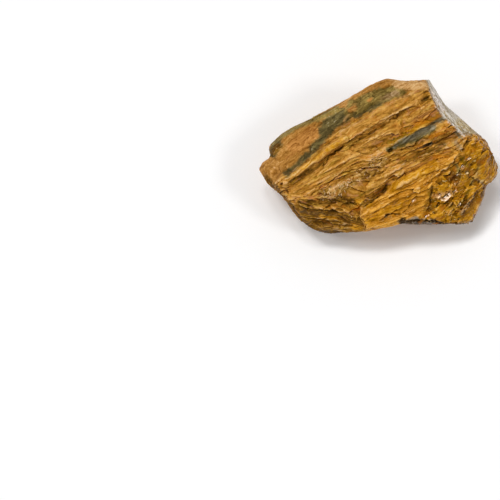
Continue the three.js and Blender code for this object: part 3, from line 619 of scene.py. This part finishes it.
# The stone's colours, stains, fine marks and painted shade and highlights, with sizes in mm.
nelliteValues = {
    "stainLow": -12,         # c at which the stains have faded out
    "stainEdge": [(0.4, 1.6, 0.6, 14)],
    "stainGrain": [(0.35, 0.5, 0.5, 15)],
    "shadeStreaks": [(0.14, 6, 1.6, 12)],
    "fineEvening": 8,        # passes that give the copies from which hollows are measured
    "broadEvening": 60,
    # weights of the painted shading: the cells' tone, and darker in hollows and broad basins
    "toneAndPaintedShading": {"middle": 0.52, "tone": 0.45, "hollow": 2.0, "basin": 0.35},
    "fleckLoss": {"weathered": 1.0, "paleEnd": 1.0, "strata": 0.5, "slab": 0.6, "hackle": 0.5},
    "unflecked": ("veinGreen", "veinGrey", "paintedUndersideShade", "paintedGlint", "palePink", "paleTan", "paintedGlintLine"),
    # Stains and seams of other colour, with painted shadow under lips, in cracks and round the rim, painted
    # shade along the underside, and painted highlights on glints and lips: the half width of each, and its
    # line.
    "stains": {
        "greyGreen": [
            (1.1, [(-25.2, -4.9), (-21, -1.6), (-17.9, 1.4)]),
            (1.4, [(-17.8, 1.8), (-15.8, 4.6), (-14.2, 6.8)]),
            (2.4, [(-14.6, 6.6), (-13.2, 8.6), (-10.2, 10.8)]),
            (1.4, [(-6, 11.3), (-2.6, 13.5), (1.8, 15.7)]),
            (1.5, [(-28.8, 0.9), (-27.6, 3.6)]),
            (0.8, [(15.5, 1.6), (17.6, 3.2)]),
        ],
        "olive": [
            (1.2, [(-28.6, 4.4), (-23, 8), (-16, 10.6), (-11.6, 12.6)]),
            (2.1, [(-5.6, 13.4), (-1, 16.2), (5.6, 17.6)]),
            (1.3, [(-8.4, 11.6), (-7.2, 14.4)]),
            (0.6, [(25, -7.4), (27.6, -2)]),
            (0.8, [(20.6, -1.6), (21.6, -5.4)]),
        ],
        "oliveGold": [
            (1.0, [(2.8, 3.2), (6.2, 4.9), (9.4, 6.9)]),
            (0.9, [(21.6, 0.4), (23.4, -2.2), (24.4, -5)]),
            (0.8, [(13.6, -9.6), (15.4, -13.4)]),
            (0.7, [(22.4, -13), (24.4, -9.4)]),
            (0.6, [(18.6, -14.6), (21.4, -13)]),
        ],
        "rust": [
            (2.2, [(-22.6, 2.8), (-18.2, 6.2)]),
            (0.9, [(-7.8, 12.6), (-6.8, 13.2)]),
            (0.6, [(-2.6, 14.9), (-2.2, 15.2)]),
            (0.5, [(-25.2, -0.4), (-23.2, 0.6)]),
            (0.5, [(-8.6, 7.2), (-4.6, 9.2)]),
            (1.0, [(9.6, 9.2), (14.6, 11.8)]),
            (0.9, [(10.6, -3.4), (16.6, -0.6)]),
        ],
        # tan, and on the lines just above a ledge's lip a painted highlight on the lit lip
        "tanAndLipHighlight": [
            (1.5, [(5, 19.6), (8.4, 19), (12.6, 18.9)]),
            (0.5, [(-10.5, 6.6), (-7.6, 8), (-3.4, 10.2)]),
            (0.45, [(1.6, 12.9), (5.6, 15.4), (10, 17.2)]),
            (0.45, [(-7, 5.3), (-3.4, 7.4)]),
            (0.4, [(1, 9.9), (4, 11.5), (8, 13.5), (11, 15)]),
            (0.35, [(-9.6, 9.4), (-8.2, 11.2)]),
            (0.35, [(-22, 9.2), (-15, 12.6), (-8, 16)]),
            (0.3, [(3.2, 1.1), (7, 2.6), (9.4, 3.9)]),
            (0.8, [(15, -10.9), (17, -10.4), (19.2, -10)]),
        ],
        "paleGold": [
            (1.4, [(-8, 6), (-3, 8.9), (1.6, 11.9), (6, 14), (11, 15.8)]),
            (0.9, [(-22, -5), (-18.6, -2.8), (-13.6, 1)]),
            (1.1, [(-14, 1.6), (-10.2, 4.2)]),
            (1.0, [(-8, 0.6), (-2.4, 3.6), (2.6, 6)]),
            (0.9, [(-9, -1), (-5, 0.6), (-1.6, 1.8)]),
        ],
        "brown": [
            (1.5, [(15.4, 3.8), (18.2, 5.4), (20.4, 6)]),
            (1.0, [(20, -4.6), (21.2, -8)]),
            (0.6, [(27.6, -6.4), (29.2, -8.6)]),
            (0.9, [(22.6, -15), (23.8, -12.6)]),
        ],
        "gold": [
            (0.5, [(-21, -3.6), (-13, 2.2), (-9.8, 4.2)]),
            (0.8, [(8, 6.6), (10.4, 7.9), (15, 10.4)]),
            (1.6, [(3.4, -8.8), (8.4, -6.1), (14.6, -2.6)]),
            (1.0, [(-3, -18), (1.6, -14.8), (8, -12)]),
            (1.8, [(24.4, 1.6), (28, 4)]),
            (1.2, [(24.2, -16.6), (25.6, -14), (27.8, -10.6)]),
            (0.8, [(27, -5.6), (28.2, -2.8)]),
            (0.5, [(-15.9, -16.2), (-11.8, -16.6)]),
            (0.8, [(-7, -18.6), (-4.8, -19.6)]),
            (0.9, [(-5.8, -12.4), (-2.6, -13)]),
        ],
        "orange": [
            (0.7, [(9, 8.5), (11.8, 9.6), (14.4, 11.6)]),
            (0.35, [(11.6, 10.2), (12.6, 10.9)]),
            (0.6, [(13.6, 4.8), (16.6, 6.9), (18.4, 8.4)]),
            (0.65, [(-5, -14.2), (-7, -14.6)]),
            (0.9, [(15.4, 0.2), (18.2, -0.7), (20.6, -1.2)]),
            (0.5, [(19.4, -7.6), (20.8, -8.6)]),
            (0.5, [(17, -14.4), (18, -13)]),
        ],
        "veinGreen": [
            (1.1, [(2.6, 1.7), (4.4, 2.4), (6.4, 3.2)]),
            (1.4, [(5.6, 2.9), (8.4, 4.4), (11.4, 6), (13.8, 7.4)]),
        ],
        "veinGrey": [
            (0.5, [(4, 2.4), (5, 2.8)]),
            (0.95, [(6.8, 3.9), (9.4, 5.3), (11.6, 6.6), (13.8, 7.9)]),
            (0.8, [(13.4, 7.9), (15.4, 9.1), (17.4, 10)]),
            (0.5, [(2, -16.1), (2.6, -15.9)]),
            (0.5, [(12, 2.5), (14.2, 3.2)]),
            (0.5, [(-21, -14.9), (-16, -15.2), (-12, -15.6)]),
            (0.6, [(20.6, 6.2), (22.4, 4.6)]),
        ],
        "shadowBrown": [
            (1.0, [(-21, -12.6), (-17, -12.8), (-14.6, -12.2), (-10, -11.6), (-7.4, -12.6)]),
            (0.5, [(-8.2, 2.6), (-3.2, 5.4), (1.6, 8.2), (6, 10.4)]),
            (0.8, [(6, -1.6), (9, -0.8), (13.6, 1.4), (17, 2.6)]),
            (0.5, [(-13.4, 0.4), (-17, -3.4), (-21.6, -6.2)]),
            (0.8, [(-4.4, -13.2), (-0.6, -10.8), (2.4, -7.6)]),
            (0.7, [(28.8, -9.6), (26.4, -17.4)]),
            (1.2, [(-30.6, -6), (-26, -11.4), (-22.4, -16.2)]),
            (0.6, [(11.4, 15), (13.4, 15.9)]),
            (0.6, [(27, 6.4), (29.4, 4.6), (31.5, 0), (32.8, -2.6)]),
            (0.5, [(32.7, -5.3), (29.9, -7.6), (28.6, -11)]),
            (0.2, [(26.8, -9.4), (24.4, -11.7), (22.8, -14.3), (22.2, -17.6)]),
            (1.0, [(-28.6, 1), (-27.4, 2.6)]),
            (0.7, [(-22.6, -13.6), (-19, -14.9), (-13.6, -15.2), (-8, -16)]),
            (0.5, [(-18.4, -17.4), (-12, -17.8), (-7.6, -18.6)]),
            (0.4, [(14.2, -8), (13.9, -12.4), (15, -15.4)]),
            (0.4, [(22, 2), (20.4, -1.4), (17, -4)]),
        ],
        # painted shade: near black along the lower rim, where the underside turns from the light
        "paintedUndersideShade": [
            (1.3, [(6.6, -18), (10, -17.8), (14, -17.9), (17, -18.3)]),
            (0.6, [(16, -18.4), (22, -18.4), (25.6, -18)]),
            (0.5, [(-22, -17), (-16.4, -20.8), (-9.2, -21)]),
        ],
        # painted highlight: pale colour on the glassy facets that catch the light
        "paintedGlint": [(0.4, [(17.3, -12), (19.4, -10.4)]), (0.25, [(22.3, -3.4), (22.8, -2.8)])],
        "taupe": [
            (0.8, [(0.6, 15.6), (4.8, 16.8)]),
            (0.8, [(20.6, 3.8), (22, 1.9)]),
            (0.5, [(26.8, -6.4), (28.6, -7.6)]),
        ],
        "palePink": [(0.9, [(14.2, 17.6), (15.8, 15), (17.2, 12.6)])],
        "paleTan": [(1.3, [(21.8, 9.2), (24.4, 7.4), (25.4, 6.8)])],
        # painted highlight: a white line along the pale end's inner edge
        "paintedGlintLine": [
            (0.3, [(15.6, 13.4), (16.8, 11.6), (17.8, 10.2)]),
            (0.3, [(18.6, 9.5), (20.6, 8), (22.8, 5.4)]),
        ],
    },
    "body": ("#5C3600", "#9E6A1E", "#D8A04A"),
    # Each zone, stain and painted mark lies over the body in this order: dark, middle and light colour.
    "colours": {
        "weathered": ("#7A4C14", "#AC7632", "#D29C58"),
        "scaly": ("#66400C", "#A2762F", "#E0B474"),
        "slab": ("#774900", "#B9791A", "#EBAD48"),
        "strata": ("#2A1700", "#684410", "#A87826"),
        "hackle": ("#4E2C00", "#A26C08", "#DE9E22"),
        "greyGreen": ("#2E2A12", "#4E4426", "#78693C"),
        "olive": ("#46380E", "#7A6430", "#A88E4A"),
        "oliveGold": ("#3C2C00", "#765606", "#B07E14"),
        "rust": ("#7C4612", "#AE7434", "#D4954E"),
        "tanAndLipHighlight": ("#8E6028", "#C6955A", "#E4BC84"),
        "paleGold": ("#8A5A10", "#C88E3E", "#ECBA66"),
        "brown": ("#482200", "#6C4008", "#986A26"),
        "gold": ("#7E5000", "#B07204", "#E2A42C"),
        "orange": ("#8A4400", "#B87210", "#EAA844"),
        "veinGreen": ("#241F0A", "#443A14", "#6E6030"),
        "veinGrey": ("#342E1E", "#5C5440", "#888068"),
        "shadowBrown": ("#2C1800", "#5C3A08", "#94661A"),
        "paintedUndersideShade": ("#0C0600", "#1E1006", "#3E2A18"),
        "paleEnd": ("#665C40", "#A8987A", "#E2DACC"),
        "paintedGlint": ("#7A4A12", "#C8924A", "#FFE8C4"),
        "taupe": ("#5E4626", "#8A6C42", "#B89870"),
        "palePink": ("#8E7C6C", "#C8B8AA", "#F2EAE2"),
        "paleTan": ("#6E5628", "#A88C58", "#DCCBA2"),
        "paintedGlintLine": ("#A08A60", "#E2D8C4", "#FFFFFF"),
    },
    # Patches that the body wanders to, with noise and numbers as the flecks and painted glints below have.
    "bodyTints": [
        ((6, 1.8, 3), 0.5, 0.66, 0.7, ("#5A2C00", "#A0601A", "#D8943E")),
        ((4, 1.3, 3), 0.54, 0.68, 0.7, ("#5C4204", "#A0781E", "#DCB056")),
    ],
    # Zone, noise (length and width in mm, detail), where it starts and is full, share, and colour.
    "flecksAndPaintedGlints": [
        ("fresh", (3.1, 0.55, 3), 0.56, 0.66, 0.4, "#B05C0C"),
        ("fresh", (2.3, 0.65, 3), 0.57, 0.67, 0.4, "#C88E62"),
        ("fresh", (4.2, 0.42, 3), 0.57, 0.67, 0.4, "#58460E"),
        ("fresh", (1.9, 0.36, 2), 0.6, 0.7, 0.4, "#EAB648"),
        # painted glints: pale flecks on the scaly zone and the hackle
        ("scaly", (0.5, 0.34, 1), 0.62, 0.72, 0.6, "#EED8B8"),
        ("hackle", (1.3, 0.4, 1), 0.64, 0.72, 0.55, "#F0CC84"),
        ("hackle", (1.8, 0.5, 2), 0.6, 0.68, 0.5, "#452804"),
        ("hackle", (2.6, 1.4, 2), 0.56, 0.64, 0.6, "#A25E0A"),
        # painted glints on the slab
        ("slab", (1.2, 0.3, 1), 0.65, 0.74, 0.5, "#F4CE88"),
        ("paleEnd", (1.3, 0.5, 3), 0.5, 0.62, 0.65, "#6E5C3C"),
        ("paleEnd", (2.2, 0.8, 2), 0.56, 0.66, 0.6, "#A8843E"),
        ("paleEnd", (0.9, 0.3, 2), 0.6, 0.7, 0.7, "#FFFFFF"),
    ],
    "paintedHighlight": "#FFF0D4",      # painted highlight where the level runs highest, on ridges and lips
    "paintedHighlightShare": 0.2,
    "toneStops": (0.1, 0.48, 0.82, 1.0),
    # painted shade in creases and cracks, by how deep the hollow is
    "crevice": "#351F02",
    "creviceDepth": (0.06, 0.24, 0.7),   # where it starts and is full, and its share
    "specularTint": "#F0B860",
    "roughness": {"plain": 0.46, "gloss": 0.22, "weathered": 0.2},
    # Broad, fine and hair streaks and speckle: length, width and detail. The last three are the bump.
    "streaks": [(9, 1.0, 5), (3.5, 0.34, 4), (1.6, 0.14, 2), (0.5, 0.35, 3)],
    "streakWeights": [0.9, 0.7, 0.4, 0.4],
    "bumpWeights": [1.0, 0.6, 0.8],
    "bumpDepth": 0.1,
    "glossCalm": 0.75,       # share of the bump that glossy places lose
}


def tintStone(stone, place, zones):
    mesh = stone.data
    a, b, c, along, across = (place[name] for name in ("a", "b", "c", "along", "across"))
    # hollows and ridges, measured against evened copies of the carved surface
    edges = readEdges(mesh)
    points, normals = readPoints(mesh), readNormals(mesh)
    fine = evened(points, edges, nelliteValues["fineEvening"])
    broad = evened(fine, edges, nelliteValues["broadEvening"])
    hollow = ((fine - points) * normals).sum(1) / mm
    basin = ((broad - fine) * normals).sum(1) / mm
    # painted shading: darker in hollows and broad basins, lighter on ridges, over the cells' own tone
    weights = nelliteValues["toneAndPaintedShading"]
    toneAndPaintedShading = (weights["middle"] + weights["tone"] * (place["tone"] - 0.5)
             - weights["hollow"] * hollow - weights["basin"] * basin)
    toneAndPaintedShading += layeredNoise(along, across, c, nelliteValues["shadeStreaks"])
    storeNumbers(mesh, "toneAndPaintedShading", np.clip(toneAndPaintedShading, -0.5, 1.5))
    storeNumbers(mesh, "hollow", hollow)
    for name in ("weathered", "scaly", "slab", "strata", "hackle", "paleEnd", "gloss", "glassy"):
        storeNumbers(mesh, name, zones[name])

    onFace = ease((c - nelliteValues["stainLow"]) / 4)
    raggedness = (layeredNoise(along, across, c, nelliteValues["stainEdge"])
                  + layeredNoise(a, b, c, nelliteValues["stainGrain"]))
    fresh = np.ones_like(a)
    for name, loss in nelliteValues["fleckLoss"].items():
        fresh = fresh * (1 - loss * zones[name])
    for name, marks in nelliteValues["stains"].items():
        cover = np.zeros_like(a)
        for width, line in marks:
            distance = np.abs(measureLine(line, *place["wandered"])[0])
            inside = width - distance + 0.35 * place["wobble"] * min(1, width)
            cover = np.maximum(cover, softCover(inside + raggedness))
        storeNumbers(mesh, name, cover * onFace)
        if name in nelliteValues["unflecked"]:
            fresh = fresh * (1 - cover * onFace)
    storeNumbers(mesh, "fresh", fresh)
    fibre = mesh.attributes.new("fibre", "FLOAT_VECTOR", "POINT")
    fibre.data.foreach_set("vector", np.column_stack((along, across, c)).astype(np.float32).ravel())
    print("stone tinted")


def makeStone():
    selectOnly(frame["nodes"][stoneValues["node"]])
    bpy.ops.object.duplicate()
    stone = bpy.context.active_object
    stone.name = "nelliteCarved"
    stone.data.name = "nelliteCarved"
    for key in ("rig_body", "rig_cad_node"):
        if key in stone:
            del stone[key]
    stone.parent = None
    bpy.ops.object.mode_set(mode="EDIT")
    bpy.ops.mesh.select_all(action="SELECT")
    bpy.ops.mesh.remove_doubles(threshold=1e-6)
    bpy.ops.object.mode_set(mode="OBJECT")
    applyModifier(stone, "REMESH", mode="VOXEL", voxel_size=stoneValues["gridSize"] * mm)
    applyModifier(stone, "SMOOTH", factor=0.5, iterations=stoneValues["evening"])
    print("stone meshed:", len(stone.data.polygons), "faces")
    place, zones = carveStone(stone)
    tintStone(stone, place, zones)
    triangles = 2 * len(stone.data.polygons)
    applyModifier(stone, "DECIMATE", ratio=min(1, stoneValues["triangles"] / triangles))
    print("stone thinned:", len(stone.data.polygons), "faces")
    return stone


def linear(hexColour):
    channels = [int(hexColour[i:i + 2], 16) / 255 for i in (1, 3, 5)]
    return tuple(c / 12.92 if c <= 0.04045 else ((c + 0.055) / 1.055) ** 2.4 for c in channels) + (1.0,)


def addNode(tree, kind, settings=None, inputs=None):
    # inputs maps a socket's name or number to a value, or to the output socket that feeds it
    node = tree.nodes.new(kind)
    for name, value in (settings or {}).items():
        setattr(node, name, value)
    for name, value in (inputs or {}).items():
        if isinstance(value, bpy.types.NodeSocket):
            tree.links.new(value, node.inputs[name])
        else:
            node.inputs[name].default_value = value
    return node


def fibrousNellite():
    # Nellite: quartz full of golden fibres, silky along the grain, dull where it is weathered.
    material = bpy.data.materials.new("fibrousNellite")
    material.use_nodes = True
    tree = material.node_tree
    tree.nodes.clear()

    # the numbers that carving and tinting stored on the mesh
    stored = {}
    for name in ("toneAndPaintedShading", "hollow", "gloss", "glassy", "fresh", *nelliteValues["colours"]):
        stored[name] = addNode(tree, "ShaderNodeAttribute", {"attribute_name": name}).outputs["Fac"]
    fibre = addNode(tree, "ShaderNodeAttribute", {"attribute_name": "fibre"}).outputs["Vector"]

    def streaks(length, width, detail):
        # noise drawn out along the fibres, in mm
        scaled = addNode(tree, "ShaderNodeMapping", {"vector_type": "POINT"},
                         {"Vector": fibre, "Scale": (1 / length, 1 / width, 1 / width)})
        noise = addNode(tree, "ShaderNodeTexNoise", {},
                        {"Vector": scaled.outputs[0], "Scale": 1.0, "Detail": detail})
        return noise.outputs["Fac"]

    def patchy(size, least, most, full):
        # a share from 0 to full, in patches drawn out along the fibres
        patches = addNode(tree, "ShaderNodeMapRange", {"interpolation_type": "SMOOTHSTEP"},
                          {"Value": streaks(*size), "From Min": least, "From Max": most, "To Max": full})
        return patches.outputs["Result"]

    def weighed(total, parts):
        # the total, and each part times its weight
        for part, weight in parts:
            total = addNode(tree, "ShaderNodeMath", {"operation": "MULTIPLY_ADD"},
                            {0: part, 1: weight, 2: total}).outputs[0]
        return total

    # how dark or light each place is: the cells' tone, painted shade in hollows and a painted highlight on
    # ridges from the carved shape, and streaks that average 0.5
    grain = [streaks(*size) for size in nelliteValues["streaks"]]
    weights = nelliteValues["streakWeights"]
    level = weighed(-0.5 * sum(weights), [(stored["toneAndPaintedShading"], 1.0), *zip(grain, weights)])

    def threeTones(colours):
        # dark, middle and light, and a cream painted highlight where the level runs highest, on ridges and
        # lips
        ramp = addNode(tree, "ShaderNodeValToRGB", {}, {"Fac": level})
        stops = ramp.color_ramp.elements
        light, paintedHighlight = Vector(linear(colours[2])), Vector(linear(nelliteValues["paintedHighlight"]))
        darkest, middle, lightest, highlightStop = nelliteValues["toneStops"]
        stops[0].position, stops[1].position = darkest, highlightStop
        stops[0].color, stops[1].color = linear(colours[0]), light.lerp(paintedHighlight, nelliteValues["paintedHighlightShare"])
        stops.new(middle).color = linear(colours[1])
        stops.new(lightest).color = light
        return ramp.outputs["Color"]

    # the body wanders between brown-orange and yellow ochre, and the rest lies over it in this order
    layers = [(patchy(*spots), threeTones(colours)) for *spots, colours in nelliteValues["bodyTints"]]
    layers += [(stored[name], threeTones(colours)) for name, colours in nelliteValues["colours"].items()]
    for name, *spots, fleck in nelliteValues["flecksAndPaintedGlints"]:
        cover = addNode(tree, "ShaderNodeMath", {"operation": "MULTIPLY"},
                        {0: stored[name], 1: patchy(*spots)})
        layers.append((cover.outputs[0], linear(fleck)))
    # painted shade darkens the creases and cracks, over all the colours
    start, full, share = nelliteValues["creviceDepth"]
    crevice = addNode(tree, "ShaderNodeMapRange", {"interpolation_type": "SMOOTHSTEP"},
                      {"Value": stored["hollow"], "From Min": start, "From Max": full, "To Max": share})
    layers.append((crevice.outputs["Result"], linear(nelliteValues["crevice"])))
    colour = threeTones(nelliteValues["body"])
    for cover, layer in layers:
        blend = addNode(tree, "ShaderNodeMix", {"data_type": "RGBA"}, {0: cover, 6: colour, 7: layer})
        colour = blend.outputs[2]

    # streaked along the fibres, and smooth where it broke fresh
    calm = weighed(1.0, [(stored["gloss"], -nelliteValues["glossCalm"])])
    height = addNode(tree, "ShaderNodeMath", {"operation": "MULTIPLY"},
                     {0: weighed(0.0, zip(grain[1:], nelliteValues["bumpWeights"])), 1: calm})
    bump = addNode(tree, "ShaderNodeBump", {}, {
        "Height": height.outputs[0], "Strength": 0.6, "Distance": nelliteValues["bumpDepth"] * mm})
    values = nelliteValues["roughness"]
    roughness = weighed(values["plain"], [(stored["gloss"], -values["gloss"]),
                                          (stored["weathered"], values["weathered"])])
    shader = addNode(tree, "ShaderNodeBsdfPrincipled", {}, {
        "Base Color": colour, "Roughness": roughness, "IOR": 1.54, "Specular IOR Level": 0.3,
        "Specular Tint": linear(nelliteValues["specularTint"]), "Normal": bump.outputs[0],
        "Coat Weight": stored["glassy"], "Coat Roughness": 0.22, "Coat IOR": 1.5})
    addNode(tree, "ShaderNodeOutputMaterial", {}, {"Surface": shader.outputs[0]})
    return material


stageValues = {
    "floorSize": 3.0,
    "floorColour": "#FFFFFF",
    "worldColour": "#F7F8FA", "worldStrength": 0.36,
    "lamps": [
        {"from": (-0.35, 0.172, 0.923), "strength": 1.0, "angle": 12},
        {"from": (-0.1, 0.243, 0.965), "strength": 0.45, "angle": 12},
        {"from": (-0.55, -0.032, 0.835), "strength": 0.5, "angle": 12},
        {"from": (0.66, -0.22, 0.72), "strength": 0.5, "angle": 14},
    ],
    # pixelSize is in mm at the stone, and the two places are in pixels from the frame's upper left
    "cameraDistance": 700.0, "pixelSize": 0.27, "stoneAtPixel": (379, 156), "frameMiddle": (250, 250),
    "sensor": 36.0, "framePixels": 500,
}


def paleFloor():
    # matt white studio board
    material = bpy.data.materials.new("paleFloor")
    material.use_nodes = True
    shader = material.node_tree.nodes["Principled BSDF"]
    shader.inputs["Base Color"].default_value = linear(stageValues["floorColour"])
    shader.inputs["Roughness"].default_value = 0.9
    return material


def makeStage():
    bpy.ops.object.select_all(action="DESELECT")
    bpy.ops.mesh.primitive_plane_add(size=stageValues["floorSize"], location=(0, 0, 0))
    floor = bpy.context.active_object
    floor.name = "floor"
    floor.data.materials.append(paleFloor())
    world = bpy.data.worlds.new("studio")
    bpy.context.scene.world = world
    world.use_nodes = True
    background = world.node_tree.nodes["Background"]
    background.inputs["Color"].default_value = linear(stageValues["worldColour"])
    background.inputs["Strength"].default_value = stageValues["worldStrength"]
    for values in stageValues["lamps"]:
        data = bpy.data.lights.new("lamp", "SUN")
        data.energy, data.angle = values["strength"], math.radians(values["angle"])
        light = bpy.data.objects.new("lamp", data)
        bpy.context.scene.collection.objects.link(light)
        light.location = values["from"]
        light.rotation_euler = (-Vector(values["from"])).to_track_quat("-Z", "Y").to_euler()


def makeCamera():
    # the camera looks straight at the face, with the stone up and to the right of the frame's middle
    tilt = math.radians(faceFrame["tilt"])
    right = Vector((1, 0, 0))
    up = Vector((0, math.cos(tilt), math.sin(tilt)))
    out = Vector((0, -math.sin(tilt), math.cos(tilt)))
    pixel = stageValues["pixelSize"]
    across = (stageValues["stoneAtPixel"][0] - stageValues["frameMiddle"][0]) * pixel
    above = (stageValues["frameMiddle"][1] - stageValues["stoneAtPixel"][1]) * pixel
    middle = Vector(faceFrame["centre"]) - above * up - across * right
    data = bpy.data.cameras.new("camera")
    data.sensor_width = stageValues["sensor"]
    fieldWidth = stageValues["framePixels"] * pixel
    data.lens = stageValues["sensor"] * stageValues["cameraDistance"] / fieldWidth
    data.clip_start = 0.01
    camera = bpy.data.objects.new("camera", data)
    bpy.context.scene.collection.objects.link(camera)
    camera.location = (middle + stageValues["cameraDistance"] * out) * mm
    camera.rotation_euler = (-out).to_track_quat("-Z", "Y").to_euler()
    bpy.context.scene.camera = camera


makeStage()
makeCamera()
bpy.context.scene.view_settings.view_transform = "Standard"
print("stage, light and camera ready")

stone = makeStone()
stone.data.materials.clear()
stone.data.materials.append(fibrousNellite())
selectOnly(stone)
bpy.ops.object.shade_smooth_by_angle(angle=math.radians(50))
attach(stone, "root")
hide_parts(stoneValues["node"])
print("stone dressed")
